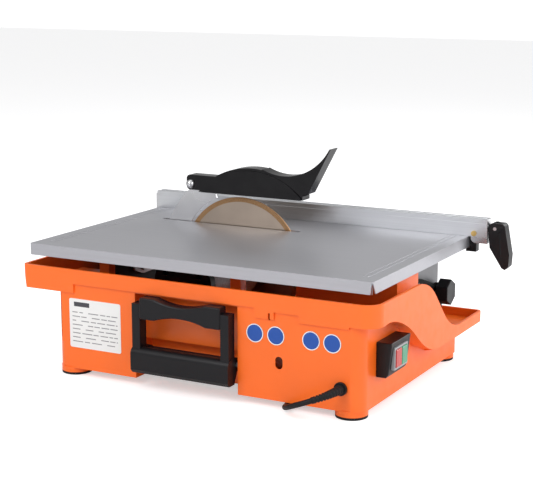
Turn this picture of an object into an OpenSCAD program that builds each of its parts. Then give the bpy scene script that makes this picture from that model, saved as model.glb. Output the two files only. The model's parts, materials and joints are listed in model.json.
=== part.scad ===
// Bench tile cutter: wet saw with a fixed blade, a tilting steel table and a sliding fence.
// Table frame used by every module: x runs along the table from its left edge, y runs back from
// its front edge, z runs up from the floor. place() moves that frame so that the origin is at the
// bottom centre of the whole machine. The operator stands at the right end (+X).

/* [Table] */
// Length of the table
table_l = 532; // [500:1:560]
// Depth of the table
table_d = 378; // [370:1:390]
// Height of the table surface above the floor
table_h = 183; // [181:1:186]
// Depth of the turned-down edge
flange_h = 16.5; // [12:0.5:18]
// Thickness of the table sheet
sheet_t = 2; // [1.5:0.1:2.5]

/* [Housing] */
// Top of the rim
rim_z = 153.5; // [150:0.5:155]
// How far the rim stands outside the table
rim_over = 8; // [7:0.5:9]
// Underside of the body
body_z = 10.5; // [9.5:0.5:11]
// Wall thickness of the moulding
wall = 4; // [3:0.5:5]
// Height of the rear tray's rim
rear_z = 64; // [60:1:68]

/* [Blade] */
// Radius of the blade
blade_r = 100; // [98:1:101]
// How far the blade stands above the table
blade_up = 44; // [38:1:46]
// Distance of the blade's axis from the table's left edge
blade_x = 202; // [200:1:204]
// Distance of the blade's plane from the table's front edge
blade_y = 256.5; // [256:0.5:258]

/* [Motor] */
// Outer radius of the motor case
motor_r = 47; // [45:0.5:48]
// Length of the motor case
motor_l = 130; // [124:1:136]

/* [Fence] */
// Height of the fence above the table
fence_h = 27; // [24:1:30]
// Depth of the fence
fence_d = 18; // [16:1:20]
// Distance of the fence's front face from the table's front edge
fence_y = 342; // [340:0.5:343]

/* [Tilt] */
// Radius of the quadrants' curved slots about the blade line
slot_r = 77; // [76:0.5:78]
// Largest tilt of the table
tilt_max = 45; // [30:1:45]

/* [Handle] */
// Width of the carrying handle
handle_w = 153; // [148:1:154]
// Height of the handle's pivot
handle_z = 50; // [49:0.5:52]

/* [Cord] */
// Diameter of the mains cord
cord_d = 7.5; // [7:0.5:8]

/* [Hidden] */
$fn = 64;

// outline of the rim, and of the narrower body under it
rim_x0 = -rim_over - 1;
rim_x1 = table_l + rim_over + 1;
rim_y0 = 1 - rim_over;
rim_y1 = table_d + rim_over;
body_x0 = 46;
body_x1 = 521;
body_y0 = rim_y0 + 2.5;
body_y1 = 342;
shelf_z = 48;
foot_t = 3.5;
rest_xs = [88, 302];
drain_at = [440, 200];
wing_z = 120;
wing_y = 120;
floor_z = body_z + wall;

// whole machine, for the origin: rim on the left, lever on the right, handle in front
lever_x1 = 594;
mid_x = (rim_x0 + lever_x1) / 2;
handle_y0 = -24;
mid_y = (handle_y0 + rim_y1) / 2;

// side profile of the walls: a round shoulder, a 45 degree slope and a hollow
shoulder_r = 90;
hollow_r = 95;
shoulder_y = 130;
shoulder_z = rim_z - shoulder_r;
slope_y0 = shoulder_y + shoulder_r * sin(45);
slope_z0 = shoulder_z + shoulder_r * cos(45);
hollow_z = rear_z + hollow_r;
slope_z1 = hollow_z - hollow_r * cos(45);
slope_y1 = slope_y0 + slope_z0 - slope_z1;
hollow_y = slope_y1 + hollow_r * sin(45);

// blade and its drive
blade_z = table_h + blade_up - blade_r;
shaft_r = 8;
arbor_r = 12.7;
motor_y1 = blade_y - 30;
motor_y0 = motor_y1 - motor_l;
knife_r0 = blade_r + 5;
knife_r1 = blade_r + 40;
knife_t = 2;

// guard pivot and outline
guard_x = 118;
guard_z = 243;
guard_w = 24;
guard_y0 = blade_y - guard_w / 2;
guard_foot_z = 232;
hump_r = 120;
hump_x = 224;
hump_z = guard_foot_z - 78;

// tilt: slots in fixed quadrants, pins on brackets under the table
quad_x = 28;
quad_t = 4;
pin_angles = [21, -10];
pin_r = 4;
screw_ys = [182, 244];
screw_z = 74;

// fence and its clamp
fence_x0 = -4;
fence_x1 = 558;
fence_mid_y = fence_y + fence_d / 2;
lever_x = 571;
lever_z = 197;
rod_r = 3;

// handle
handle_x0 = 184;
handle_x1 = handle_x0 + handle_w;
handle_y = 2;
arm_w = 12.5;
pocket_x0 = 180;
pocket_x1 = 341;
pocket_top = 131;

// switch in its recess on the right wall
switch_y0 = 38;
switch_y1 = 101;
switch_z0 = 49;
switch_z1 = 96;
button_w = 18;
button_z0 = 61;
button_z1 = 85;
button_x = 545;
stop_y = 50;
start_y = 69;

// mains cord: out of the front, sideways and down, back under the body and out behind
cord_x = 492;
cord_z = 41;
coil_at = [300, 452, 0];
coil_r = 41;
coil_h = 2 * cord_d + 1;
coil_half = 1.5 * cord_d + 0.5;
boot_route = [[492, -8.5, 41], [492, -10.5, 41], [491.6, -15.9, 40.8], [490.3, -21.1, 40.3],
  [488.1, -26, 39.5], [485.3, -30.4, 38.3], [481.7, -34.2, 36.9], [477.6, -37.3, 35.3],
  [473, -39.6, 33.5], [468.2, -41, 31.6]];
cord_route = [[468.2, -41, 31.6], [458.8, -42.5, 27.8], [449.2, -42.3, 23.9], [439.8, -40, 19.9],
  [431.3, -35, 15.9], [423.8, -27, 12.1], [417.8, -16.5, 8.8], [413, -4, 6.2], [409, 10, 4.9],
  [405, 26, 4.3], [401, 44, 4.2], [395, 100, 4.2], [389, 160, 4.2], [384, 220, 4.2],
  [377, 270, 4.2], [367, 315, 4.2], [357, 355, 4.2], [349, 390, 4.2], [346, 412, 4.2],
  [346, 428, 4.2]];
tail_route = [[251, 441, 11], [248.5, 431, 9.4], [244, 422, 8.4], [237, 415, 8.6], [228, 410.5, 10.6],
  [218, 408.5, 13.8], [208, 408, 16.6], [198, 408, 18.3], [188, 408, 19]];
plug_at = [188, 408, 19];

// ---- helpers -------------------------------------------------------------------------------

module place() { translate([-mid_x, -mid_y, 0]) children(); }

module block(lo, hi) { translate(lo) cube([hi[0] - lo[0], hi[1] - lo[1], hi[2] - lo[2]]); }

module bar_x(at, r, len) { translate(at) rotate([0, 90, 0]) cylinder(r = r, h = len); }

module bar_y(at, r, len) { translate(at) rotate([-90, 0, 0]) cylinder(r = r, h = len); }

module bar_z(at, r, len) { translate(at) cylinder(r = r, h = len); }

// rectangle with round corners, from one corner to the opposite one
module round_rect(lo, hi, r) {
  w = hi[0] - lo[0];
  d = hi[1] - lo[1];
  translate([lo[0] + r, lo[1]]) square([w - 2 * r, d]);
  translate([lo[0], lo[1] + r]) square([w, d - 2 * r]);
  for (cx = [lo[0] + r, hi[0] - r], cy = [lo[1] + r, hi[1] - r])
    translate([cx, cy]) circle(r = r);
}

module slab(lo, hi, r, z0, z1) {
  translate([0, 0, z0]) linear_extrude(z1 - z0) round_rect(lo, hi, r);
}

// a flat shape drawn in x and z, from y0 to y1
module plate_y(y0, y1) {
  translate([0, y1, 0]) rotate([90, 0, 0]) linear_extrude(y1 - y0) children();
}

// a flat shape drawn in y and z, from x0 to x1
module plate_x(x0, x1) {
  translate([x0, 0, 0]) rotate([90, 0, 90]) linear_extrude(x1 - x0) children();
}

// a ring along y
module ring_y(at, r_out, r_in, len) {
  difference() {
    bar_y(at, r_out, len);
    bar_y([at[0], at[1] - 1, at[2]], r_in, len + 2);
  }
}

// both sides of the machine: x on the right side, and its mirror image on the left
module mirrored() { translate([table_l, 0, 0]) mirror([1, 0, 0]) children(); }

// a wedge of a circle that covers the angles from a0 to a1
function wedge(a0, a1, r) = concat([[0, 0]], [for (i = [0:8])
  let (a = a0 + (a1 - a0) * i / 8) [r * cos(a), r * sin(a)]]);

// ---- swept cord ----------------------------------------------------------------------------

function unit(v) = v / norm(v);

function spline(a, b, c, d, t) = 0.5 * (2 * b + (c - a) * t + (2 * a - 5 * b + 4 * c - d) * t * t
  + (3 * b - a - 3 * c + d) * t * t * t);

function smooth(p, steps) = let (n = len(p) - 1) concat(
  [for (i = [0:n - 1], k = [0:steps - 1]) spline(p[max(i - 1, 0)], p[i], p[i + 1],
    p[min(i + 2, n)], k / steps)], [p[n]]);

// a ring across the path at point i, with one axis kept level
function ring(q, i, r, sides) = let (n = len(q) - 1, d = unit(q[min(i + 1, n)] - q[max(i - 1, 0)]),
  level = unit(cross(d, [0, 0, 1])), up = cross(level, d))
  [for (k = [0:sides - 1]) q[i] + r * (cos(360 * k / sides) * level + sin(360 * k / sides) * up)];

// r is one radius, or one for each end with an even taper between them
module sweep(path, r, sides) {
  rings = len(path);
  ends = is_list(r) ? r : [r, r];
  points = [for (i = [0:rings - 1])
    each ring(path, i, ends[0] + (ends[1] - ends[0]) * i / (rings - 1), sides)];
  skin = [for (i = [0:rings - 2], k = [0:sides - 1]) [i * sides + k, i * sides + (k + 1) % sides,
    (i + 1) * sides + (k + 1) % sides, (i + 1) * sides + k]];
  first = [for (k = [0:sides - 1]) sides - 1 - k];
  last = [for (k = [0:sides - 1]) (rings - 1) * sides + k];
  polyhedron(points, concat(skin, [first], [last]), convexity = 10);
}

// ---- housing -------------------------------------------------------------------------------

// what lies under the walls' top edge, seen from the side
module side_profile() {
  translate([-20, 0]) square([20 + shoulder_y, rim_z]);
  intersection() {
    translate([shoulder_y, shoulder_z]) circle(r = shoulder_r, $fn = 128);
    translate([shoulder_y, 0]) square([slope_y0 - shoulder_y, rim_z]);
  }
  translate([shoulder_y, 0]) square([slope_y0 - shoulder_y, shoulder_z + 1]);
  polygon([[slope_y0, 0], [slope_y0, slope_z0], [slope_y1, slope_z1], [slope_y1, 0]]);
  difference() {
    translate([slope_y1, 0]) square([hollow_y - slope_y1, slope_z1]);
    translate([hollow_y, hollow_z]) circle(r = hollow_r, $fn = 128);
  }
  translate([hollow_y, 0]) square([420 - hollow_y, rear_z]);
}

// the rim's outline: tight corners, but a wide one at the right of the front
module rim_slab(inset, z0, z1) {
  translate([0, 0, z0]) linear_extrude(z1 - z0) intersection() {
    round_rect([rim_x0 + inset, rim_y0 + inset], [rim_x1 - inset, rim_y1 - inset], 8 - inset);
    round_rect([rim_x0 - 60, rim_y0 + inset], [rim_x1 - inset, rim_y1 + 60], 24 - inset);
  }
}

// everything to the right of the rim's slanting left end
module right_of_slant(inset) {
  x = rim_x0 + inset;
  plate_y(-40, 420) polygon([[x, 220], [x, rim_z], [x + 6, wing_z], [x + 6, 0], [600, 0],
    [600, 220]]);
}

module housing_outside() {
  slab([body_x0, body_y0], [body_x1, body_y1], 18, body_z, rim_z);
  difference() {
    intersection() {
      rim_slab(0, shelf_z, rim_z);
      right_of_slant(0);
    }
    block([rim_x0 - 1, rim_y0 - 1, 0], [body_x0 + 10, wing_y, wing_z]);
    block([rim_x0 - 1, rim_y0 - 1, 0], [rim_x1 + 1, body_y0, wing_z]);
    block([503, rim_y0 - 1, 0], [rim_x1 + 1, 13.5, 123]);
    block([79, rim_y0 - 1, 0], [367, body_y0, 133]);
    block([396, rim_y0 - 1, 117], [432, body_y0, 130]);
  }
  plate_y(25, body_y1 - 10) polygon([[body_x1 - 1, 43], [body_x1, 43], [rim_x1, shelf_z],
    [rim_x1, shelf_z + 1], [body_x1 - 1, shelf_z + 1]]);
}

module housing_inside() {
  slab([body_x0 + wall, body_y0 + wall], [body_x1 - wall, body_y1 - wall], 14, floor_z, 200);
  difference() {
    intersection() {
      rim_slab(wall, shelf_z + wall, 200);
      right_of_slant(wall);
    }
    block([rim_x0 - 1, rim_y0, 0], [body_x0 + wall, wing_y + wall, wing_z + wall]);
    block([499, rim_y0, 0], [rim_x1 + 1, 17.5, 127]);
  }
}

// hollow for the handle in the front wall: shallow at the top, deep where the bar swings
module pocket(grow) {
  block([pocket_x0 - grow, -20, 0], [pocket_x1 + grow, 38 + grow, 64 + grow]);
  block([pocket_x0 - grow, -20, 63], [pocket_x1 + grow, 18 + grow, pocket_top + grow]);
}

// recess for the switch in the right wall: a wave-shaped arch, open below and at the front
arch = [[-30, 123], [4, 123], [20, 124], [36, 124.5], [47, 123], [59, 120.4], [73, 115.6],
  [86, 110.2], [98.5, 103.7], [110.6, 96.4], [121.7, 88.5], [132.5, 80.2], [143.5, 72.2], [155, 65.1],
  [166, 59.2], [177.5, 54.6], [191, 50.6], [206, shelf_z]];

module recess_outline(grow) {
  n = len(arch) - 1;
  line = [for (i = [0:n]) let (d = unit(arch[min(i + 1, n)] - arch[max(i - 1, 0)]))
    arch[i] + grow * [-d[1], d[0]]];
  polygon(concat([[-30, 24]], line, [[206 + grow, 24]]));
}

module switch_recess() { plate_x(body_x1, rim_x1 + 1) recess_outline(0); }

module foot_at() {
  for (x = [66, 498], y = [15.5, 322]) translate([x, y, 0]) children();
}

// post that the right quadrant is screwed to; the left one stands on the tray's shelf
module quadrant_post(z0) {
  block([table_l - quad_x + quad_t, 170, z0], [body_x1 - 1, 256, 84]);
}

module housing_tray() {
  color("darkorange") place() difference() {
    union() {
      difference() {
        intersection() {
          housing_outside();
          plate_x(rim_x0, rim_x1) side_profile();
        }
        housing_inside();
      }
      intersection() {
        housing_outside();
        pocket(wall);
      }
      foot_at() cylinder(r = 21.5, h = body_z + 1);
      for (x = rest_xs) block([x, 45, floor_z - 1], [x + 16, 60, table_h - 8]);
      intersection() {
        plate_x(body_x1 - wall, rim_x1) recess_outline(wall);
        housing_outside();
      }
      block([table_l - quad_x + quad_t + 0.5, 104, 44], [body_x1, 177, 165]);
      block([408, 104, floor_z - 1], [table_l - quad_x + quad_t + 1, 107, rim_z]);
      block([372, 104, 58], [409, 107, rim_z]);
      quadrant_post(30);
      mirrored() quadrant_post(shelf_z + 1);
    }
    pocket(0);
    switch_recess();
    foot_at() translate([0, 0, -1]) cylinder(r = 22, h = 1 + foot_t);
    // overflow hole, drain, cord hole, slot in the rim and holes for the handle's pins
    plate_y(-10, 10) {
      for (z = [59.4, 65.4]) translate([402.4, z]) circle(r = 5.5);
      translate([396.9, 59.4]) square([11, 6]);
    }
    bar_z([drain_at[0], drain_at[1], 0], 7, 30);
    bar_y([cord_x, -10, cord_z], 6, 20);
    block([387.3, -10, 118], [390.3, body_y0 + 1.5, 128]);
    for (x = [pocket_x0 - wall, pocket_x1 - 1]) bar_x([x, handle_y, handle_z], pin_r, wall + 1);
    // screw holes for the quadrants
    for (y = screw_ys) {
      bar_x([table_l - quad_x, y, screw_z], 2.5, body_x1 - table_l + quad_x);
      mirrored() bar_x([table_l - quad_x, y, screw_z], 2.5, body_x1 - table_l + quad_x);
    }
  }
}

module rubber_feet() {
  color("black") place() foot_at() cylinder(r = 21.5, h = foot_t);
}

module table_rests() {
  color("dimgray") place() for (x = rest_xs)
    bar_z([x + 8, 52.5, table_h - 8], 6, 8 - sheet_t - 0.2);
}

module drain_plug() {
  color("black") place() translate([drain_at[0], drain_at[1], body_z - 2]) {
    cylinder(r = 10, h = 2);
    cylinder(r = 6.9, h = wall + 4);
  }
}

module rating_label() {
  color("white") place() plate_y(body_y0 - 0.4, body_y0)
    round_rect([70, 41.5], [156, 112], 3);
}

module round_stickers() {
  color("royalblue") place() for (x = [367, 398, 449, 479])
    bar_y([x, body_y0 - 0.4, 98.5], 12.5, 0.4);
}

// ---- switch --------------------------------------------------------------------------------

module switch_box() {
  color("black") place() difference() {
    plate_y(switch_y0, switch_y1) polygon([[body_x1, switch_z0], [body_x1 + 14, switch_z0],
      [body_x1 + 17, switch_z0 + 4], [body_x1 + 22, switch_z1], [body_x1, switch_z1]]);
    block([body_x1 + 8, stop_y - 3, button_z0 - 3], [560, start_y + button_w + 3, button_z1 + 3]);
  }
}

module switch_bezel() {
  color("lightgray") place() difference() {
    block([body_x1 + 8, stop_y - 2.9, button_z0 - 2.9], [button_x - 1.5, start_y + button_w + 2.9,
      button_z1 + 2.9]);
    for (y = [stop_y, start_y])
      block([body_x1 + 11, y, button_z0], [560, y + button_w, button_z1]);
  }
}

module button(y) {
  block([body_x1 + 14.5, y + 0.2, button_z0 + 0.2], [button_x, y + button_w - 0.2, button_z1 - 0.2]);
}

module stop_button() { color("red") place() button(stop_y); }

module start_button() { color("green") place() button(start_y); }

// ---- motor and blade -----------------------------------------------------------------------

shaft_at = [blade_x, 0, blade_z];

module motor_case() {
  color("dimgray") place() difference() {
    union() {
      bar_y([blade_x, motor_y0, blade_z], motor_r, motor_l);
      block([blade_x - 30, motor_y0 + 20, floor_z], [blade_x - 20, motor_y1 - 20, blade_z - 30]);
      block([blade_x + 20, motor_y0 + 20, floor_z], [blade_x + 30, motor_y1 - 20, blade_z - 30]);
    }
    bar_y([blade_x, motor_y0 - 1, blade_z], motor_r - 3, motor_l - 9);
    bar_y([blade_x, motor_y0, blade_z], 16, motor_l - 4);
    bar_y([blade_x, motor_y0, blade_z], shaft_r + 1, motor_l + 2);
    for (a = [0:90:270])
      bar_y([blade_x + 25 * cos(a), motor_y1 - 8, blade_z + 25 * sin(a)], 2.5, 10);
  }
}

module motor_end_cover() {
  color("gray") place() difference() {
    union() {
      bar_y([blade_x, motor_y0 - 12, blade_z], motor_r, 12);
      bar_y([blade_x, motor_y0, blade_z], motor_r - 3.1, 4);
      bar_y([blade_x, motor_y0, blade_z], 20, 14);
    }
    bar_y([blade_x, motor_y0 + 2, blade_z], 16, 14);
    bar_y([blade_x, motor_y0 - 6, blade_z], 13, 10);
    for (a = [30:60:330]) bar_y([blade_x + 32 * cos(a), motor_y0 - 13, blade_z + 32 * sin(a)], 5, 20);
    for (a = [0:90:270])
      bar_y([blade_x + 40 * cos(a + 45), motor_y0 - 13, blade_z + 40 * sin(a + 45)], 2, 20);
  }
}

module stator() {
  color("peru") place() {
    ring_y([blade_x, motor_y0 + 40, blade_z], motor_r - 3, 29, 55);
    for (y = [motor_y0 + 30, motor_y0 + 95]) ring_y([blade_x, y, blade_z], motor_r - 6, 30, 10);
  }
}

module bearings() {
  color("silver") place() for (y = [motor_y0 + 3, motor_y1 - 15])
    ring_y([blade_x, y, blade_z], 16, shaft_r + 0.05, 11);
}

module motor_fan() {
  color("black") place() difference() {
    plate_y(motor_y0 + 20, motor_y0 + 27) translate([blade_x, blade_z]) {
      circle(r = 14);
      for (a = [0:45:315]) rotate(a) translate([10, -1]) square([26, 2]);
    }
    bar_y([blade_x, motor_y0 + 19, blade_z], shaft_r, 9);
  }
}

module rotor() {
  color("slategray") place() ring_y([blade_x, motor_y0 + 38, blade_z], 28.5, shaft_r, 59);
}

module motor_shaft() {
  color("silver") place() {
    bar_y([blade_x, motor_y0 + 1, blade_z], shaft_r, blade_y - 4 - motor_y0);
    bar_y([blade_x, blade_y - 3, blade_z], 6, 26);
  }
}

module motor_bracket() {
  color("gainsboro") place() difference() {
    union() {
      plate_y(motor_y1, motor_y1 + 4) polygon([[74, 60], [74, 136], [150, 175], [214, 175],
        [230, 150], [230, 60]]);
      block([78, motor_y1 + 4, 96], [92, blade_y - 1, 134]);
    }
    bar_y([blade_x, motor_y1 - 1, blade_z], 18, 6);
    for (a = [0:90:270])
      bar_y([blade_x + 25 * cos(a), motor_y1 - 1, blade_z + 25 * sin(a)], 2.5, 6);
    for (z = [106, 124]) bar_y([85, blade_y - 15, z], 2, 16);
  }
}

module motor_screws() {
  color("silver") place() {
    for (a = [0:90:270]) translate([25 * cos(a), 0, 25 * sin(a)]) {
      bar_y([blade_x, motor_y1 + 4, blade_z], 4.5, 3);
      bar_y([blade_x, motor_y1 - 3.5, blade_z], 2.4, 8);
    }
    for (a = [0:90:270]) translate([40 * cos(a + 45), 0, 40 * sin(a + 45)])
      bar_y([blade_x, motor_y0 - 15, blade_z], 3.5, 3);
  }
}

module capacitor() {
  color("whitesmoke") place() {
    bar_x([330, 110, floor_z + 20], 20, 75);
    block([345, 95, floor_z], [349, 125, floor_z + 4]);
  }
}

module inner_flange() {
  color("silver") place() difference() {
    union() {
      bar_y([blade_x, blade_y - 6, blade_z], 28, 5);
      bar_y([blade_x, blade_y - 2, blade_z], arbor_r, 3);
    }
    bar_y([blade_x, blade_y - 8, blade_z], 6, 10);
    bar_y([blade_x, blade_y - 8, blade_z], shaft_r, 5);
  }
}

module blade_core() {
  color("lightgray") place() ring_y([blade_x, blade_y - 0.8, blade_z], blade_r - 7, arbor_r, 1.6);
}

module blade_rim() {
  color("tan") place() ring_y([blade_x, blade_y - 1.1, blade_z], blade_r, blade_r - 7, 2.2);
}

module outer_flange() {
  color("silver") place() ring_y([blade_x, blade_y + 1, blade_z], 28, 6, 4);
}

module arbor_nut() {
  color("silver") place() difference() {
    translate([blade_x, blade_y + 5, blade_z]) rotate([-90, 0, 0]) cylinder(r = 11, h = 9, $fn = 6);
    bar_y([blade_x, blade_y + 4, blade_z], 6, 11);
  }
}

// ---- riving knife and guard ----------------------------------------------------------------

module knife_outline() {
  difference() {
    intersection() {
      translate([blade_x, blade_z]) difference() {
        circle(r = knife_r1, $fn = 128);
        circle(r = knife_r0, $fn = 128);
      }
      translate([blade_x, blade_z]) polygon(wedge(114, 202, 200));
    }
    translate([130, guard_foot_z + 12]) square([60, 60]);
  }
  translate([guard_x, guard_z]) circle(r = 9);
}

module riving_knife() {
  color("silver") place() difference() {
    plate_y(blade_y - knife_t / 2, blade_y + knife_t / 2) knife_outline();
    bar_y([guard_x, blade_y - 5, guard_z], 3, 10);
    for (z = [106, 124]) bar_y([85, blade_y - 5, z], 2.6, 10);
  }
}

module knife_screws() {
  color("silver") place() for (z = [106, 124]) {
    bar_y([85, blade_y + knife_t / 2, z], 4.5, 3);
    bar_y([85, blade_y - 10, z], 1.95, 11);
  }
}

// outline of the guard in x and z, drawn smaller by the given inset
module guard_outline(inset) {
  r = 84 + inset;
  difference() {
    union() {
      intersection() {
        translate([hump_x, hump_z]) circle(r = hump_r - inset, $fn = 128);
        translate([100, guard_foot_z]) square([210, 80]);
      }
      polygon([[230, guard_foot_z], [292, guard_foot_z], [319 - inset, 242],
        [355 - inset, 310 - inset], [279, 310], [240, 270 - inset]]);
    }
    translate([279, 350]) circle(r = r, $fn = 128);
  }
}

module guard_arm() {
  translate([guard_x, guard_foot_z + 2]) square([60, 23]);
  translate([guard_x + 5 - 12, guard_foot_z + 2 + 6]) square([20, 11]);
  for (z = [guard_foot_z + 8, guard_foot_z + 19]) translate([guard_x - 1, z]) circle(r = 6);
}

module guard_shell() {
  color("#1b191b") place() difference() {
    union() {
      plate_y(guard_y0, guard_y0 + guard_w) guard_outline(0);
      plate_y(guard_y0 + 2, guard_y0 + guard_w - 2) guard_arm();
      plate_y(guard_y0 - 2, guard_y0 + 1) intersection() {
        translate([hump_x, hump_z - 2]) circle(r = hump_r - 2, $fn = 128);
        translate([100, guard_foot_z]) square([208, 80]);
      }
    }
    plate_y(guard_y0 + 3, guard_y0 + guard_w - 3) intersection() {
      translate([hump_x, hump_z]) circle(r = hump_r - 5, $fn = 128);
      translate([140, guard_foot_z - 5]) square([160, 80]);
    }
    block([100, blade_y - 1.4, guard_foot_z - 5], [165, blade_y + 1.4, guard_z + 11]);
    bar_y([guard_x, guard_y0 - 5, guard_z], 3, guard_w + 10);
  }
}

module guard_bolt() {
  color("silver") place() {
    difference() {
      translate([guard_x, guard_y0 + 2, guard_z]) sphere(r = 7);
      block([guard_x - 10, guard_y0 + 2, guard_z - 10], [guard_x + 10, guard_y0 + 12, guard_z + 10]);
    }
    bar_y([guard_x, guard_y0 + 1, guard_z], 2.95, guard_w + 2);
    translate([guard_x, guard_y0 + guard_w - 2, guard_z]) rotate([-90, 0, 0])
      cylinder(r = 6, h = 5, $fn = 6);
  }
}

// ---- table ---------------------------------------------------------------------------------

module table_top() {
  color("silver") place() difference() {
    slab([0, 0], [table_l, table_d], 3, table_h - flange_h, table_h);
    slab([1.6, 1.6], [table_l - 1.6, table_d - 1.6], 1.4, 0, table_h - sheet_t);
    // slot for the blade and the knife: wider behind, where the sheet swings down past them
    block([62, blade_y - 3.5, 0], [300, blade_y + 5, 250]);
    // pressed lines across the table near its ends
    for (x = [17, 25, table_l - 26, table_l - 18])
      block([x, 24, table_h - 0.5], [x + 1, fence_y - 6, table_h + 1]);
    // open corners of the turned-down edge at the operator's end
    for (y = [0, table_d]) translate([0, y, 0]) mirror([0, y > 0 ? 1 : 0, 0]) {
      plate_x(table_l - 1.8, table_l + 1) polygon([[-1, 160], [9, 160], [9, table_h - flange_h],
        [1.6, table_h - sheet_t], [-1, table_h - sheet_t]]);
      plate_y(-1, 1.8) polygon([[table_l - 5, 160], [table_l + 1, 160],
        [table_l + 1, table_h - sheet_t], [table_l - 2, table_h - sheet_t]]);
    }
  }
}

// plate under the table, x on the right side
module bracket_plate() {
  difference() {
    union() {
      plate_x(table_l - quad_x - 5, table_l - quad_x - 2) polygon([[200, 146], [200, table_h - sheet_t],
        [300, table_h - sheet_t], [300, 104], [292, 96], [240, 96], [218, 104]]);
      block([table_l - quad_x - 25, 206, table_h - sheet_t - 3], [table_l - quad_x - 2, 308,
        table_h - sheet_t]);
    }
    for (a = pin_angles) translate([0, blade_y + slot_r * sin(a), table_h - slot_r * cos(a)])
      bar_x([table_l - quad_x - 6, 0, 0], pin_r, 6);
    for (y = [220, 294]) bar_z([table_l - quad_x - 16, y, 0], 2.5, 300);
  }
}

// the two pins that run in the curved slot; the rear one carries the knob's thread
module bracket_pins() {
  at = [for (a = pin_angles) [blade_y + slot_r * sin(a), table_h - slot_r * cos(a)]];
  bar_x([table_l - quad_x - 8, at[0][0], at[0][1]], pin_r, 22);
  bar_x([table_l - quad_x - 8, at[1][0], at[1][1]], pin_r, 15);
  for (p = at) bar_x([table_l - quad_x - 8, p[0], p[1]], 7, 3);
  bar_x([table_l - quad_x + quad_t + 1, at[1][0], at[1][1]], 7, 2);
}

module bracket_right() { color("gray") place() { bracket_plate(); bracket_pins(); } }

module bracket_left() { color("gray") place() mirrored() { bracket_plate(); bracket_pins(); } }

module bracket_rivets() {
  color("silver") place() for (x = [quad_x + 16, table_l - quad_x - 16], y = [220, 294]) {
    bar_z([x, y, table_h - sheet_t - 5], 4.5, 2);
    bar_z([x, y, table_h - sheet_t - 4], 2.5, 4);
  }
}

module quadrant_shape() {
  difference() {
    union() {
      polygon([[150, 62], [150, 147], [184, 148.5], [197, 147], [210, 143.5], [224, 140], [236, 136],
        [250, 131.5], [263, 126.5], [279, 118], [293, 107], [302, 94], [304, 84], [304, 62]]);
      translate([blade_y, table_h] + slot_r * [sin(pin_angles[0]), -cos(pin_angles[0])])
        circle(r = 12);
    }
    translate([blade_y, table_h]) intersection() {
      difference() {
        circle(r = slot_r + pin_r + 0.3, $fn = 128);
        circle(r = slot_r - pin_r - 0.3, $fn = 128);
      }
      polygon(wedge(-90 + pin_angles[1] - tilt_max, -90 + pin_angles[0], 120));
    }
    for (a = [pin_angles[0], pin_angles[1] - tilt_max])
      translate([blade_y + slot_r * sin(a), table_h - slot_r * cos(a)]) circle(r = pin_r + 0.3);
  }
}

module quadrant() {
  difference() {
    plate_x(table_l - quad_x, table_l - quad_x + quad_t) quadrant_shape();
    for (y = screw_ys) bar_x([table_l - quad_x - 1, y, screw_z], 2.5, quad_t + 2);
  }
}

module quadrant_right() { color("#101010") place() quadrant(); }

module quadrant_left() { color("#101010") place() mirrored() quadrant(); }

module quadrant_screws() {
  color("silver") place() for (side = [0, 1], y = screw_ys)
    translate([side * table_l, 0, 0]) mirror([side, 0, 0]) {
      bar_x([quad_x, y, screw_z], 4.5, 3);
      bar_x([quad_x - 12, y, screw_z], 2.45, 13);
    }
}

// clamping knob: round hub with flats around it
module tilt_knob() {
  x = table_l - quad_x + quad_t + 0.5;
  y = blade_y + slot_r * sin(pin_angles[0]);
  z = table_h - slot_r * cos(pin_angles[0]);
  difference() {
    union() {
      translate([x, y, z]) rotate([0, 90, 0]) cylinder(r = 10, h = 4);
      translate([x + 3, y, z]) rotate([0, 90, 0]) cylinder(r = 19, h = 18, $fn = 6);
    }
    bar_x([x - 1, y, z], pin_r + 0.05, 16);
  }
}

module knob_right() { color("black") place() tilt_knob(); }

module knob_left() { color("black") place() mirrored() tilt_knob(); }

// ---- fence ---------------------------------------------------------------------------------

module fence_section() {
  difference() {
    translate([fence_y, table_h + 0.2]) square([fence_d, fence_h - 0.2]);
    translate([fence_y + 2.2, table_h + 2.4]) square([fence_d - 4.4, fence_h - 4.8]);
    translate([fence_y - 1, table_h + fence_h - 7]) square([1.6, 2]);
    translate([fence_y + 6, table_h + fence_h - 0.8]) square([6, 2]);
  }
}

module fence_profile() {
  color("lightgray") place() difference() {
    plate_x(fence_x0, fence_x1) fence_section();
    bar_y([540, fence_y - 1, 188], 2, 6);
  }
}

module fence_end_plate() {
  color("silver") place() difference() {
    union() {
      plate_y(fence_y, fence_y + 3) {
        translate([545, 174]) square([13, 9]);
        translate([543, 182]) circle(r = 8);
        translate([543, 174]) square([5, 9]);
      }
      block([fence_x1, fence_y, 174], [fence_x1 + 2, fence_y + fence_d, table_h + fence_h]);
    }
    block([530, fence_y - 1, table_h + 0.2], [fence_x1, fence_y + 10, 200]);
    bar_x([fence_x1 - 1, fence_mid_y, lever_z], rod_r + 0.5, 5);
  }
}

module fence_jaw() {
  color("black") place() {
    block([table_l + 0.5, fence_y + 3.2, 160], [table_l + 11, fence_y + 16, table_h + 0.2]);
    block([table_l - 5, fence_y + 3.2, 160], [table_l + 1, fence_y + 16, 165.5]);
  }
}

module fence_screws() {
  color("gold") place() {
    bar_y([540, fence_y - 2, 188], 4, 2);
    bar_y([540, fence_y - 1, 188], 2, 3);
  }
}

module clamp_rod() {
  color("silver") place() {
    bar_x([fence_x0 - 4, fence_mid_y, lever_z], rod_r, lever_x - 5 - fence_x0 + 4);
    difference() {
      union() {
        bar_y([lever_x, fence_mid_y - 3, lever_z], 6, 6);
        block([lever_x - 9, fence_mid_y - 3, lever_z - 3], [lever_x, fence_mid_y + 3, lever_z + 3]);
      }
      bar_y([lever_x, fence_mid_y - 4, lever_z], 2.5, 8);
    }
  }
}

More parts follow.
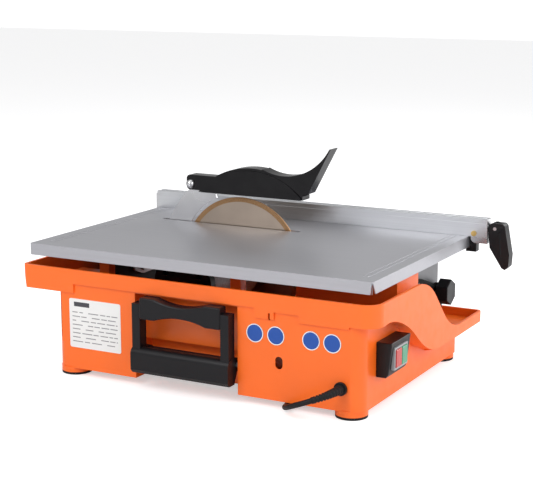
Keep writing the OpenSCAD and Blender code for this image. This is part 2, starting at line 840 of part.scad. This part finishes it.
module clamp_hook() {
  color("silver") place() difference() {
    union() {
      block([fence_x0 - 4, fence_y + 3, 160], [fence_x0 - 1, fence_y + 15, 205]);
      block([fence_x0 - 4, fence_y + 3, 160], [4, fence_y + 15, 163]);
      block([fence_x0 - 4, fence_y + 3, 160], [-0.4, fence_y + 15, 176]);
    }
    bar_x([fence_x0 - 5, fence_mid_y, lever_z], rod_r, 6);
  }
}

module lever_pin() {
  color("silver") place() bar_y([lever_x, fence_y + 0.5, lever_z], 2.5, fence_d - 1);
}

module cam_lever() {
  color("black") place() difference() {
    plate_y(fence_y + 0.5, fence_y + fence_d - 0.5) {
      translate([lever_x - 0.8, lever_z - 1]) circle(r = 9.7);
      polygon([[570, 205], [583, 205], [586, 202], [594, 160], [593, 143], [588, 138], [583, 140],
        [564, 169], [561.5, 190]]);
    }
    block([lever_x - 20, fence_mid_y - 3.4, lever_z - 13], [lever_x + 8, fence_mid_y + 3.4,
      lever_z + 13]);
    bar_y([lever_x, fence_y, lever_z], 2.55, fence_d);
  }
}

// ---- handle --------------------------------------------------------------------------------

module handle_frame() {
  color("#2b282b") place() difference() {
    union() {
      for (x = [handle_x0 + 1, handle_x1 - arm_w - 1])
        block([x, handle_y0 + 4, handle_z], [x + arm_w, -4, 121]);
      plate_x(handle_x0, handle_x1) {
        polygon([[handle_y0 + 4, 24], [handle_y0, 29], [handle_y0, handle_z], [handle_y,
          handle_z + 8], [handle_y, handle_z - 8], [-4, 30], [-6, 24]]);
        translate([handle_y0 + 10, handle_z]) circle(r = 10);
      }
      for (x = [handle_x0, handle_x1 - 16]) bar_x([x, handle_y, handle_z], 9, 16);
    }
    for (x = [handle_x0 - 1, handle_x1 - 11]) bar_x([x, handle_y, handle_z], pin_r + 0.05, 12);
  }
}

module handle_pins() {
  color("silver") place() {
    bar_x([pocket_x0 - 3.5, handle_y, handle_z], pin_r, 13);
    bar_x([handle_x1 - 10, handle_y, handle_z], pin_r, pocket_x1 + wall - handle_x1 + 9.5);
  }
}

// waisted grip between the arms
module handle_grip() {
  x0 = handle_x0 + 1 + arm_w;
  x1 = handle_x1 - 1 - arm_w;
  mid = (x0 + x1) / 2;
  color("#333033") place() difference() {
    block([x0, handle_y0 + 2, 100], [x1, -3, 130]);
    for (z = [100 - 112, 130 + 112]) bar_y([mid, handle_y0, z], 119, 40);
  }
}

// ---- mains cord ----------------------------------------------------------------------------

module cord_collar() {
  color("black") place() difference() {
    union() {
      bar_y([cord_x, body_y0 - 4, cord_z], 9, 4);
      bar_y([cord_x, body_y0 - 1, cord_z], 5.95, wall + 4);
    }
    bar_y([cord_x, -12, cord_z], 3, 30);
  }
}

module cord_boot() {
  color("black") place() sweep(smooth(boot_route, 2), [6.5, 4.4], 24);
}

module power_cord() {
  color("#151515") place() sweep(smooth(cord_route, 3), cord_d / 2, 10);
}

module cord_coil() {
  color("#151515") place() translate(coil_at) rotate_extrude($fn = 96)
    translate([coil_r - coil_half, 0.4]) square([2 * coil_half, coil_h - 0.4]);
}

module cord_tail() {
  color("#151515") place() sweep(smooth(tail_route, 3), cord_d / 2, 10);
}

module cord_tie() {
  color("black") place() translate(coil_at) difference() {
    block([-4, -coil_r - coil_half - 1, 0.4], [4, -coil_r + coil_half + 1.3, coil_h + 1.4]);
    block([-5, -coil_r - coil_half - 0.02, -1], [5, -coil_r + coil_half + 0.3, coil_h + 0.02]);
  }
}

module plug_body() {
  color("black") place() translate(plug_at) rotate([0, -90, 0]) {
    cylinder(r = 6.5, h = 14);
    translate([0, 0, 13]) cylinder(r = 18.6, h = 30);
  }
}

module plug_pins() {
  color("silver") place() for (dy = [-9.5, 9.5])
    bar_x([plug_at[0] - 62, plug_at[1] + dy, plug_at[2]], 2.4, 19);
}

housing_tray();
rubber_feet();
table_rests();
quadrant_right();
quadrant_left();
quadrant_screws();
drain_plug();
rating_label();
round_stickers();
switch_box();
switch_bezel();
start_button();
stop_button();
motor_case();
motor_end_cover();
stator();
bearings();
motor_fan();
rotor();
motor_shaft();
motor_bracket();
motor_screws();
capacitor();
inner_flange();
blade_core();
blade_rim();
outer_flange();
arbor_nut();
riving_knife();
knife_screws();
guard_shell();
guard_bolt();
table_top();
bracket_right();
bracket_left();
bracket_rivets();
knob_right();
knob_left();
fence_profile();
fence_end_plate();
fence_jaw();
fence_screws();
clamp_rod();
clamp_hook();
lever_pin();
cam_lever();
handle_frame();
handle_grip();
handle_pins();
cord_collar();
cord_boot();
power_cord();
cord_coil();
cord_tail();
cord_tie();
plug_body();
plug_pins();
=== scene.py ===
"""Looks of a bench tile cutter: materials, softened edges and small details around its CAD frame.

Lengths are in metres in the row frame; at() takes millimetres in the table frame that the CAD uses:
x from the table's left edge, y from its front edge, z from the floor.
"""

import json
import math
import random

import bmesh
import bpy
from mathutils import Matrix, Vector


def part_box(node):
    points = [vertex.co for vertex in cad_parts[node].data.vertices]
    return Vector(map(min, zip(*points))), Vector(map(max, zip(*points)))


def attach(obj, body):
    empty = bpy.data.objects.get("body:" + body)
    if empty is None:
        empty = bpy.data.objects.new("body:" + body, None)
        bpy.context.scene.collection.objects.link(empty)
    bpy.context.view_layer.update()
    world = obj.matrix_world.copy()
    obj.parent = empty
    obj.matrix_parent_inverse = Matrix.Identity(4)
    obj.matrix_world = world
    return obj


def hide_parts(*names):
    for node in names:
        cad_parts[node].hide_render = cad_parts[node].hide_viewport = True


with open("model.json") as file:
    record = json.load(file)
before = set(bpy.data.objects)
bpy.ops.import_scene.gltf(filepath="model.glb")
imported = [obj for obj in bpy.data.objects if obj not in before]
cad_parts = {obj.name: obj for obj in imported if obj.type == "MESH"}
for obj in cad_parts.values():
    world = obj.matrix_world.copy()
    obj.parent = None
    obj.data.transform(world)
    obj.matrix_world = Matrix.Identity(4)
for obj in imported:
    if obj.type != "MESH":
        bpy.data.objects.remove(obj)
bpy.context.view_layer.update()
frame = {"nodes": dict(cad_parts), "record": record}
NODES = frame["nodes"]
BODIES = frame["record"]["behaviour"]["bodies"]
BODY_OF = {node: body for body, nodes in BODIES.items() for node in nodes}
SLOT_OF = {part["node"]: part["material_slot"] for part in frame["record"]["subparts"]}

# the row frame's origin, in the table frame
MID_X = 292.5
MID_Y = 181.0


def at(x, y, z):
    return Vector(((x - MID_X) / 1000, (y - MID_Y) / 1000, z / 1000))


# ---- camera, in the photograph's place ---------------------------------------------------------

CAMERA_LENS = 93.2
CAMERA_SPOT = (1205.7, -1533.9, 565.8)
CAMERA_DOWN, CAMERA_TURN = 11.56, 28.24

camera_data = bpy.data.cameras.new("camera")
camera_data.lens = CAMERA_LENS
camera_data.sensor_width = 36
camera_data.clip_start = 0.05
camera = bpy.data.objects.new("camera", camera_data)
camera.location = at(*CAMERA_SPOT)
camera.rotation_euler = (math.radians(90 - CAMERA_DOWN), 0, math.radians(CAMERA_TURN))
bpy.context.scene.collection.objects.link(camera)
bpy.context.scene.camera = camera
bpy.context.scene.view_settings.view_transform = "Standard"


# ---- materials ---------------------------------------------------------------------------------


def shader(name, color, rough=0.5, metal=0.0, **extra):
    """A Principled material; extra sets its other sockets by name, with _ for spaces."""
    made = bpy.data.materials.new(name)
    made.use_nodes = True
    made.diffuse_color = (*color, 1)
    bsdf = made.node_tree.nodes["Principled BSDF"]
    bsdf.inputs["Base Color"].default_value = (*color, 1)
    bsdf.inputs["Roughness"].default_value = rough
    bsdf.inputs["Metallic"].default_value = metal
    for key, value in extra.items():
        bsdf.inputs[key.replace("_", " ")].default_value = value
    return made


def noise(made, scale, detail=3.0, stretch=(1, 1, 1)):
    """A noise texture over the piece's own metres; returns its Fac socket."""
    nodes, links = made.node_tree.nodes, made.node_tree.links
    place = nodes.new("ShaderNodeTexCoord")
    mapping = nodes.new("ShaderNodeMapping")
    mapping.inputs["Scale"].default_value = stretch
    texture = nodes.new("ShaderNodeTexNoise")
    texture.inputs["Scale"].default_value = scale
    texture.inputs["Detail"].default_value = detail
    links.new(place.outputs["Object"], mapping.inputs["Vector"])
    links.new(mapping.outputs["Vector"], texture.inputs["Vector"])
    return texture.outputs["Fac"]


def tint(made, source, dark, light):
    """The base colour runs from dark to light as the texture does."""
    nodes, links = made.node_tree.nodes, made.node_tree.links
    ramp = nodes.new("ShaderNodeValToRGB")
    ramp.color_ramp.elements[0].position = 0.35
    ramp.color_ramp.elements[0].color = (*dark, 1)
    ramp.color_ramp.elements[1].position = 0.65
    ramp.color_ramp.elements[1].color = (*light, 1)
    links.new(source, ramp.inputs["Fac"])
    links.new(ramp.outputs["Color"], nodes["Principled BSDF"].inputs["Base Color"])


def gloss(made, source, low, high):
    """The roughness runs from low to high as the texture does."""
    nodes, links = made.node_tree.nodes, made.node_tree.links
    span = nodes.new("ShaderNodeMapRange")
    span.inputs["From Min"].default_value = 0.3
    span.inputs["From Max"].default_value = 0.7
    span.inputs["To Min"].default_value = low
    span.inputs["To Max"].default_value = high
    links.new(source, span.inputs["Value"])
    links.new(span.outputs["Result"], nodes["Principled BSDF"].inputs["Roughness"])


def relief(made, source, depth, strength):
    """A fine bump of that depth in metres."""
    nodes, links = made.node_tree.nodes, made.node_tree.links
    bump = nodes.new("ShaderNodeBump")
    bump.inputs["Distance"].default_value = depth
    bump.inputs["Strength"].default_value = strength
    links.new(source, bump.inputs["Height"])
    links.new(bump.outputs["Normal"], nodes["Principled BSDF"].inputs["Normal"])


def scaled(color, k):
    """The colour made lighter or darker, with no channel over 1."""
    return tuple(min(1.0, c * k) for c in color)


def plastic(name, color, rough, grain=900, depth=0.00005, vary=0.06):
    """Moulded plastic: a fine spark-eroded grain and a faint mottle; black ones reflect less."""
    made = shader(name, color, rough, Specular_IOR_Level=0.5 if max(color) > 0.05 else 0.24)
    tint(made, noise(made, 14), scaled(color, 1 - vary), scaled(color, 1 + vary))
    gloss(made, noise(made, 60), rough - 0.05, rough + 0.06)
    relief(made, noise(made, grain, 2.0), depth, 0.35)
    return made


def metal(name, color, rough, stretch=(1, 1, 1), scale=500, vary=0.08, depth=0.00003,
          metallic=1.0):
    """Metal with a grain that runs along the axis whose stretch is smallest."""
    made = shader(name, color, rough, metallic)
    grain = noise(made, scale, 4.0, stretch)
    tint(made, grain, scaled(color, 1 - vary), scaled(color, 1 + vary))
    gloss(made, noise(made, 6, 1.0), rough - 0.02, rough + 0.03)
    relief(made, grain, depth, 0.3)
    return made


ORANGE = (0.93, 0.15, 0.01)
materials = {
    "housing": plastic("orange_moulding", ORANGE, 0.36, 700, 0.00006, 0.03),
    "foot_rubber": plastic("foot_rubber", (0.012, 0.012, 0.013), 0.75),
    "black_plastic": plastic("black_plastic", (0.008, 0.008, 0.009), 0.36),
    "handle_plastic": plastic("handle_plastic", (0.008, 0.0075, 0.009), 0.36, 600),
    "guard_plastic": plastic("guard_plastic", (0.004, 0.0035, 0.0045), 0.2, 500, 0.00002),
    "grey_plastic": plastic("grey_plastic", (0.34, 0.34, 0.35), 0.45),
    "green_button": plastic("green_button", (0.06, 0.3, 0.17), 0.2, 500, 0.00001),
    "red_button": plastic("red_button", (0.5, 0.05, 0.045), 0.2, 500, 0.00001),
    "label_white": plastic("label_white", (0.8, 0.8, 0.79), 0.4, 300, 0.00001, 0.02),
    "sticker_blue": plastic("sticker_blue", (0.005, 0.07, 0.36), 0.35, 300, 0.00001, 0.04),
    "table_steel": metal("table_steel", (0.47, 0.47, 0.5), 0.36, (0.02, 1, 1), 300, 0.02, 0.0, 0.8),
    "bracket_steel": metal("bracket_steel", (0.22, 0.22, 0.23), 0.45, (1, 1, 1), 40, 0.05, 0.0,
                           0.7),
    "quadrant_black": plastic("quadrant_black", (0.006, 0.006, 0.006), 0.8),
    "bright_steel": metal("bright_steel", (0.62, 0.62, 0.63), 0.28, (1, 1, 1), 40, 0.04, 0.0),
    "blade_steel": metal("blade_steel", (0.44, 0.36, 0.29), 0.3, (1, 1, 1), 9, 0.12, 0.0),
    "diamond_rim": metal("diamond_rim", (0.33, 0.19, 0.09), 0.5, (1, 1, 1), 1500, 0.3, 0.0001, 0.7),
    "fence_aluminium": metal("fence_aluminium", (0.62, 0.63, 0.65), 0.34, (0.02, 1, 1), 300,
                             0.03, 0.0),
    "screw_brass": metal("screw_brass", (0.7, 0.48, 0.17), 0.3),
    "motor_alu": metal("motor_alu", (0.3, 0.3, 0.31), 0.55, (1, 1, 1), 300, 0.15, 0.0002, 0.8),
    "copper_winding": metal("copper_winding", (0.55, 0.22, 0.08), 0.4, (1, 0.1, 1), 900, 0.3),
    "stator_steel": metal("stator_steel", (0.3, 0.3, 0.31), 0.45, (1, 20, 1), 200, 0.2),
    "capacitor_shell": plastic("capacitor_shell", (0.62, 0.62, 0.6), 0.5),
    "cord_rubber": plastic("cord_rubber", (0.008, 0.008, 0.009), 0.5, 1200, 0.00005),
}
for name, node in NODES.items():
    node.data.materials.clear()
    node.data.materials.append(materials[SLOT_OF[name]])


# ---- making pieces -----------------------------------------------------------------------------


def add(name, mesh, body, slot, material=None):
    piece = bpy.data.objects.new(name, mesh)
    bpy.context.scene.collection.objects.link(piece)
    mesh.materials.clear()
    mesh.materials.append(material or materials[slot])
    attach(piece, body)
    return piece


def soft_copy(node, width, segments, name):
    """A piece with the CAD node's own surface, its edges rounded by the width in millimetres."""
    mesh = NODES[node].data.copy()
    work = bmesh.new()
    work.from_mesh(mesh)
    bmesh.ops.transform(work, matrix=NODES[node].matrix_world, verts=work.verts)
    bmesh.ops.remove_doubles(work, verts=work.verts, dist=2e-6)
    bmesh.ops.dissolve_limit(work, angle_limit=math.radians(0.4), verts=work.verts, edges=work.edges)
    for face in work.faces:
        face.smooth = True
    work.to_mesh(mesh)
    work.free()
    piece = add(name, mesh, BODY_OF[node], SLOT_OF[node])
    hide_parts(node)
    bevel = piece.modifiers.new("edges", "BEVEL")
    bevel.width = width / 1000
    bevel.segments = segments
    bevel.limit_method = "ANGLE"
    bevel.angle_limit = math.radians(28)
    bevel.use_clamp_overlap = True
    bevel.miter_outer = "MITER_ARC"
    normals = piece.modifiers.new("flats", "WEIGHTED_NORMAL")
    normals.keep_sharp = True
    normals.weight = 80
    return piece


def mesh_of(name, work):
    """The mesh of a finished bmesh, which is freed."""
    mesh = bpy.data.meshes.new(name)
    work.to_mesh(mesh)
    work.free()
    return mesh


def round_angles(count):
    return [2 * math.pi * k / count for k in range(count)]


def band(work, low, high):
    """Quads between two closed rings of vertices."""
    for k in range(len(low)):
        after = (k + 1) % len(low)
        work.faces.new([low[k], low[after], high[after], high[k]])


def skinned(name, rings):
    """A closed tube through rings of points, smooth along its side."""
    work = bmesh.new()
    loops = [[work.verts.new(spot) for spot in ring] for ring in rings]
    for low, high in zip(loops, loops[1:]):
        band(work, low, high)
    work.faces.new(list(reversed(loops[0])))
    work.faces.new(loops[-1])
    bmesh.ops.recalc_face_normals(work, faces=work.faces)
    for face in work.faces:
        face.smooth = len(face.verts) == 4
    return mesh_of(name, work)


def lathe(name, profile, start, direction, body, slot, sides):
    """A turned piece: (distance along, radius) pairs in millimetres about a line from start."""
    turn = Vector(direction).normalized().to_track_quat("Z", "X").to_matrix()
    rings = []
    for along, radius in profile:
        ring = []
        for angle in round_angles(sides):
            spot = Vector((radius * math.cos(angle), radius * math.sin(angle), along)) / 1000
            ring.append(start + turn @ spot)
        rings.append(ring)
    return add(name, skinned(name, rings), body, slot)


def strips(name, boxes, body, slot, material=None):
    """Many small blocks as one piece, each given by its lowest and highest corner."""
    work = bmesh.new()
    for low, high in boxes:
        made = bmesh.ops.create_cube(work, size=1)
        size = high - low
        bmesh.ops.scale(work, vec=size, verts=made["verts"])
        bmesh.ops.translate(work, vec=(low + high) / 2, verts=made["verts"])
    return add(name, mesh_of(name, work), body, slot, material)


# ---- mains cord --------------------------------------------------------------------------------

CORD_D = 7.5
COIL_X, COIL_Y = 300, 452
TURN_OUT, TURN_IN = 48.5, 33.5
LOW_Z, HIGH_Z = 4.2, 11.7
BOOT = [
    (492, -8.5, 41), (492, -10.5, 41), (491.6, -15.9, 40.8), (490.3, -21.1, 40.3),
    (488.1, -26, 39.5), (485.3, -30.4, 38.3), (481.7, -34.2, 36.9), (477.6, -37.3, 35.3),
    (473, -39.6, 33.5), (468.2, -41, 31.6),
]
ROUTE = [
    (468.2, -41, 31.6), (458.8, -42.5, 27.8), (449.2, -42.3, 23.9), (439.8, -40, 19.9),
    (431.3, -35, 15.9), (423.8, -27, 12.1), (417.8, -16.5, 8.8), (413, -4, 6.2), (409, 10, 4.9),
    (405, 26, 4.3), (401, 44, 4.2), (395, 100, 4.2), (389, 160, 4.2), (384, 220, 4.2),
    (377, 270, 4.2), (367, 315, 4.2), (357, 355, 4.2), (349, 390, 4.2), (346, 412, 4.2),
    (346, 428, 4.2),
]
TAIL = [
    (251, 441, 11), (248.5, 431, 9.4), (244, 422, 8.4), (237, 415, 8.6), (228, 410.5, 10.6),
    (218, 408.5, 13.8), (208, 408, 16.6), (198, 408, 18.3), (188, 408, 19),
]
PITCH = TURN_OUT - TURN_IN


def coil_turn(turns):
    """Radius and height of the coil after that many turns: in below, up, and out above."""
    if turns <= 2:
        return TURN_OUT - PITCH * turns / 2, LOW_Z
    if turns <= 3:
        u = turns - 2
        return TURN_IN, LOW_Z + (HIGH_Z - LOW_Z) * (3 * u * u - 2 * u ** 3)
    if turns <= 5:
        return TURN_IN + PITCH * (turns - 3) / 2, HIGH_Z
    return TURN_OUT, HIGH_Z


coil = []
for step in range(133):
    angle = math.radians(15 * step - 12)
    radius, height = coil_turn(step / 24)
    coil.append((COIL_X + radius * math.cos(angle), COIL_Y + radius * math.sin(angle), height))
points = [at(*p) for p in ROUTE + coil + TAIL]


def spline_point(a, b, c, d, t):
    """The Catmull-Rom point between b and c."""
    square = (2 * a - 5 * b + 4 * c - d) * t * t
    cube = (3 * b - a - 3 * c + d) * t * t * t
    return 0.5 * (2 * b + (c - a) * t + square + cube)


def smoothed(knots, steps):
    """A curve through the knots, with that many steps between two of them."""
    path = []
    for i in range(len(knots) - 1):
        before = knots[max(i - 1, 0)]
        after = knots[min(i + 2, len(knots) - 1)]
        for k in range(steps):
            path.append(spline_point(before, knots[i], knots[i + 1], after, k / steps))
    return path + [knots[-1]]


smooth = smoothed(points, 4)

curve = bpy.data.curves.new("mains_cord", "CURVE")
curve.dimensions = "3D"
line = curve.splines.new("POLY")
line.points.add(len(smooth) - 1)
for spot, p in zip(line.points, smooth):
    spot.co = (*p, 1)
line.use_smooth = True
curve.bevel_depth = CORD_D / 2000
curve.bevel_resolution = 4
curve.use_fill_caps = True
curve.materials.append(materials["cord_rubber"])
cord = bpy.data.objects.new("mains_cord", curve)
bpy.context.scene.collection.objects.link(cord)
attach(cord, "base")
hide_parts("power_cord", "cord_coil", "cord_tail")

# strain relief: tapered along its bend, with moulded ribs
BOOT_R, BOOT_TAPER, BOOT_END_R = 6.5, 2.1, 3.9
RIB_DEPTH = 0.9

boot_path = smoothed([at(*p) for p in BOOT], 12)
last = len(boot_path) - 1
rings = []
for i, spot in enumerate(boot_path):
    heading = (boot_path[min(i + 1, last)] - boot_path[max(i - 1, 0)]).normalized()
    level = heading.cross(Vector((0, 0, 1))).normalized()
    up = level.cross(heading)
    share = i / last
    radius = BOOT_R - BOOT_TAPER * share
    if 0.06 < share < 0.95 and i % 9 in (3, 4, 5):
        radius -= RIB_DEPTH
    if i == last:
        radius = BOOT_END_R
    rings.append([spot + (math.cos(angle) * level + math.sin(angle) * up) * radius / 1000
                  for angle in round_angles(32)])
boot = add("strain_relief", skinned("strain_relief", rings), "base", "cord_rubber")
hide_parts("cord_boot")

# earthed plug: round body, waist with finger ridges, sleeve over the cord
plug_profile = [(0, 4.4), (1, 5.2), (9, 6.3), (12, 7.5), (14, 12), (15.5, 16), (17, 17.4)]
for ridge in range(5):
    along = 19 + 2.6 * ridge
    plug_profile += [(along, 17.4), (along + 0.6, 16.6), (along + 1.4, 16.6), (along + 2, 17.4)]
plug_profile += [(33, 17.6), (35, 18.3), (41.5, 18.5), (42.6, 18), (43, 17)]
plug = lathe("mains_plug", plug_profile, at(*TAIL[-1]), (-1, 0, 0), "base", "cord_rubber", 48)
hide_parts("plug_body")

tie = soft_copy("cord_tie", 0.4, 2, "cord_tie_soft")


# ---- parts of the machine with softened edges --------------------------------------------------

# node, width of the rounded edge in millimetres, segments, name of the piece
EDGES = [
    ("housing_tray", 1.1, 2, "housing"),
    ("table_top", 0.5, 2, "table_sheet"),
    ("guard_shell", 1.3, 2, "blade_guard"),
    ("handle_frame", 2.2, 3, "handle_frame_soft"),
    ("handle_grip", 2.6, 3, "handle_grip_soft"),
    ("cam_lever", 1.4, 3, "cam_lever_soft"),
    ("knob_right", 1.6, 3, "knob_right_soft"),
    ("knob_left", 1.6, 3, "knob_left_soft"),
    ("fence_profile", 0.35, 2, "fence_bar"),
    ("fence_end_plate", 0.4, 2, "fence_end"),
    ("fence_jaw", 0.8, 2, "fence_jaw_soft"),
    ("clamp_hook", 0.5, 2, "clamp_hook_soft"),
    ("switch_box", 1.4, 3, "switch_box_soft"),
    ("switch_bezel", 0.6, 2, "switch_bezel_soft"),
    ("start_button", 1.0, 3, "start_button_soft"),
    ("stop_button", 1.0, 3, "stop_button_soft"),
    ("riving_knife", 0.3, 2, "riving_knife_soft"),
    ("quadrant_right", 0.4, 2, "quadrant_right_soft"),
    ("quadrant_left", 0.4, 2, "quadrant_left_soft"),
    ("motor_case", 0.8, 2, "motor_case_soft"),
    ("motor_end_cover", 0.8, 2, "motor_cover_soft"),
    ("rubber_feet", 0.6, 2, "feet_soft"),
    ("guard_bolt", 0.3, 2, "guard_bolt_soft"),
    ("arbor_nut", 0.4, 2, "arbor_nut_soft"),
    ("cord_collar", 0.7, 2, "cord_collar_soft"),
]
for node, width, segments, name in EDGES:
    soft_copy(node, width, segments, name)


# ---- labels, without any text ------------------------------------------------------------------

random.seed(4)
print_grey = plastic("print_grey", (0.25, 0.25, 0.26), 0.5, 300, 0.00001, 0.1)
print_dark = plastic("print_dark", (0.05, 0.05, 0.06), 0.5, 300, 0.00001, 0.1)
face_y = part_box("rating_label")[0][1] * 1000 + MID_Y

ROW_LEFT, ROW_RIGHT = 75, 151
ROW_TOP, ROW_STEP, ROW_TALL = 92, 6, 1.3
DISC_XS, DISC_Z = (367, 398, 449, 479), 98.5


def on_front(x0, x1, z0, z1):
    """The corners of a thin print on the label."""
    return at(x0, face_y - 0.06, z0), at(x1, face_y + 0.02, z1)


rows = []
for row in range(8):
    z = ROW_TOP - ROW_STEP * row
    x = ROW_LEFT
    while x < ROW_RIGHT - 1:
        width = random.choice([6, 9, 13, 17])
        rows.append(on_front(x, min(x + width, ROW_RIGHT), z, z + ROW_TALL))
        x += width + random.choice([2, 3, 9])
strips("label_rows", rows, "base", "label_white", print_grey)
head = on_front(78, 104, 101, 107.5)
strips("label_head", [head], "base", "label_white", print_dark)

# white rim round each blue disc: (radius, height over the front)
RIM_SECTION = [(11.3, -0.01), (11.3, 0.07), (12.5, 0.07), (12.5, -0.01)]
for number, x in enumerate(DISC_XS):
    name = "sticker_rim_%d" % number
    work = bmesh.new()
    rings = []
    for angle in round_angles(48):
        cosine, sine = math.cos(angle), math.sin(angle)
        rings.append([work.verts.new(at(x + r * cosine, face_y - out, DISC_Z + r * sine))
                      for r, out in RIM_SECTION])
    for near, far in zip(rings, rings[1:] + rings[:1]):
        band(work, near, far)
    bmesh.ops.recalc_face_normals(work, faces=work.faces)
    add(name, mesh_of(name, work), "base", "label_white")


# ---- tilt scale on the quadrants ---------------------------------------------------------------

print_white = plastic("scale_white", (0.75, 0.75, 0.74), 0.5, 300, 0.00001, 0.04)
TILT_Y, TILT_Z = 256.5, 183
SCALE_R = 63
LONG_MARK, SHORT_MARK, HALF_MARK = 6.5, 4.0, 0.4
# side, x of the quadrant's outer face, height of the print over it
for side, outer_x, lift in (("right", 508, 0.08), ("left", 24, -0.08)):
    name = "tilt_scale_" + side
    work = bmesh.new()
    for step in range(10):
        angle = math.radians(-2 - 4.5 * step)
        sine, cosine = math.sin(angle), math.cos(angle)
        end_r = SCALE_R + (LONG_MARK if step % 2 == 0 else SHORT_MARK)
        near = Vector((0, TILT_Y + SCALE_R * sine, TILT_Z - SCALE_R * cosine))
        far = Vector((0, TILT_Y + end_r * sine, TILT_Z - end_r * cosine))
        across = Vector((0, cosine, sine)) * HALF_MARK
        corners = [near + across, far + across, far - across, near - across]
        low = [work.verts.new(at(outer_x, c.y, c.z)) for c in corners]
        high = [work.verts.new(at(outer_x + lift, c.y, c.z)) for c in corners]
        work.faces.new(low)
        work.faces.new(high)
        band(work, low, high)
    bmesh.ops.recalc_face_normals(work, faces=work.faces)
    add(name, mesh_of(name, work), "base", "label_white", print_white)


# ---- floor and light ---------------------------------------------------------------------------


def seen_brighter(tree, socket, lit, seen):
    """The socket has one value for the light that it gives and another for what the camera sees."""
    rays = tree.nodes.new("ShaderNodeLightPath")
    span = tree.nodes.new("ShaderNodeMapRange")
    span.inputs["To Min"].default_value = lit
    span.inputs["To Max"].default_value = seen
    tree.links.new(rays.outputs["Is Camera Ray"], span.inputs["Value"])
    tree.links.new(span.outputs["Result"], socket)


floor_mesh = bpy.data.meshes.new("floor")
reach = 9
corners = [(-reach, -reach, 0), (reach, -reach, 0), (reach, reach, 0), (-reach, reach, 0)]
floor_mesh.from_pydata(corners, [], [(0, 1, 2, 3)])
floor = bpy.data.objects.new("floor", floor_mesh)
floor.location.z = -0.0002
bpy.context.scene.collection.objects.link(floor)
# a white sweep: the camera sees it lighter than it lights the machine
floor_material = shader("floor", (0.8, 0.8, 0.81), 0.7, Emission_Color=(1, 1, 1, 1))
floor_bsdf = floor_material.node_tree.nodes["Principled BSDF"]
seen_brighter(floor_material.node_tree, floor_bsdf.inputs["Emission Strength"], 0, 0.5)
floor_mesh.materials.append(floor_material)


def area_light(name, location, target, size, power):
    data = bpy.data.lights.new(name, "AREA")
    data.shape = "RECTANGLE"
    data.size, data.size_y = size
    data.energy = power
    lamp = bpy.data.objects.new(name, data)
    lamp.location = location
    lamp.rotation_euler = (Vector(target) - Vector(location)).to_track_quat("-Z", "Y").to_euler()
    bpy.context.scene.collection.objects.link(lamp)


area_light("key", (-0.6, -2.2, 2.0), (0, 0, 0.1), (1.6, 1.6), 44)
area_light("right_side", (2.4, -0.6, 1.3), (0.2, 0, 0.08), (1.4, 1.4), 22)
area_light("top", (0, 0.6, 2.6), (0, 0, 0.1), (2.2, 2.2), 16)
area_light("back_right", (1.5, 1.9, 1.15), (0.1, 0, 0.1), (1.6, 1.2), 40)

world = bpy.data.worlds.new("studio")
world.use_nodes = True
background = world.node_tree.nodes["Background"]
background.inputs["Color"].default_value = (1, 1, 1, 1)
seen_brighter(world.node_tree, background.inputs["Strength"], 0.5, 1.1)
bpy.context.scene.world = world

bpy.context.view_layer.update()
